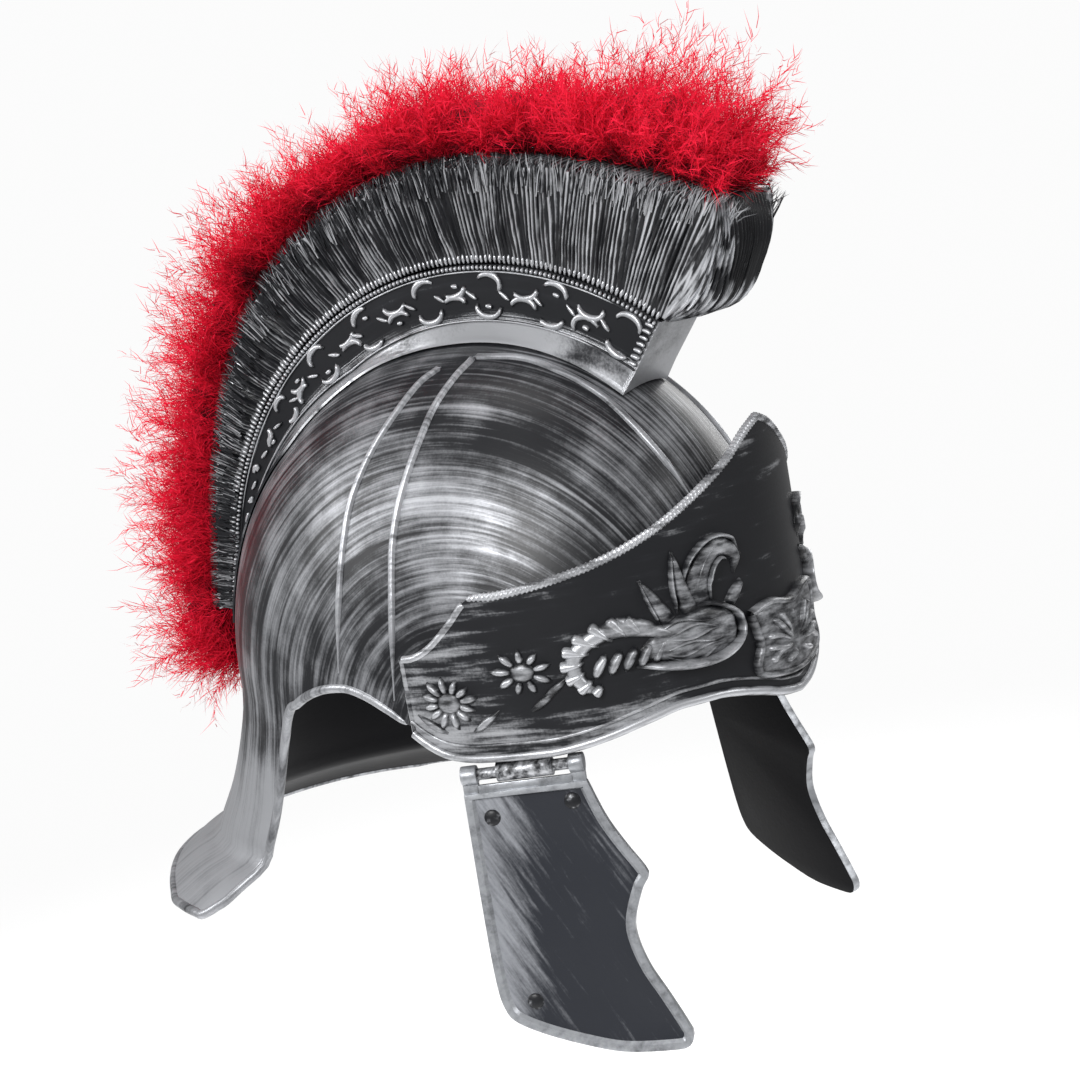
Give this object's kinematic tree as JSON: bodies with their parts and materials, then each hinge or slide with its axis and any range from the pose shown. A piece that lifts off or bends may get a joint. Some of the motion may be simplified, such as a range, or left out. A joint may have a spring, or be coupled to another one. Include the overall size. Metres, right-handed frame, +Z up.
{
  "type": "roman legionary helmet",
  "caption": "Roman legionary helmet with ribbed dome, flared neck guard, upswept ornamented brow plate, hinged cheek guards and a bristle crest under a fluffy red feather plume.",
  "frame": {"origin": "middle of the head opening, where the helmet sits on a head", "axes": "+Z up, the face looks along -Y, the wearer's left is +X"},
  "size_m": [0.2172, 0.3649, 0.4005],
  "materials": {
    "skull": "black moulded plastic, dry-brushed with silver in streaks",
    "brow_plate": "black moulded plastic, silver brushed on the relief and edges",
    "crest_box": "black moulded plastic, silver brushed on scrolls and foot",
    "crest_comb": "black moulded bristle, silver brushed on the ridges",
    "plume": "crimson marabou feather",
    "hinge": "black moulded plastic, lightly silvered",
    "cheek_guard": "black moulded plastic, silver brushed in diagonal streaks, light rim"
  },
  "bodies": {
    "helmet": {"skull": "skull", "brow_plate": "brow_plate", "crest_box": "crest_box", "crest_comb": "crest_comb", "plume": "plume", "hinge_leaf_right": "hinge", "hinge_leaf_left": "hinge", "hinge_pin_right": "hinge", "hinge_pin_left": "hinge"},
    "cheek_right": {"cheek_guard_right": "cheek_guard"},
    "cheek_left": {"cheek_guard_left": "cheek_guard"}
  },
  "joints": [
    {"name": "cheek_hinge_right", "type": "hinge", "parent": "helmet", "child": "cheek_right", "pos_m": [-0.09822, -0.0039, -0.01142], "axis": [-0.4067, 0.9135, 0], "range_deg": [0, 60]},
    {"name": "cheek_hinge_left", "type": "hinge", "parent": "helmet", "child": "cheek_left", "pos_m": [0.09822, -0.0039, -0.01142], "axis": [-0.4067, -0.9135, 0], "range_deg": [0, 60]}
  ]
}
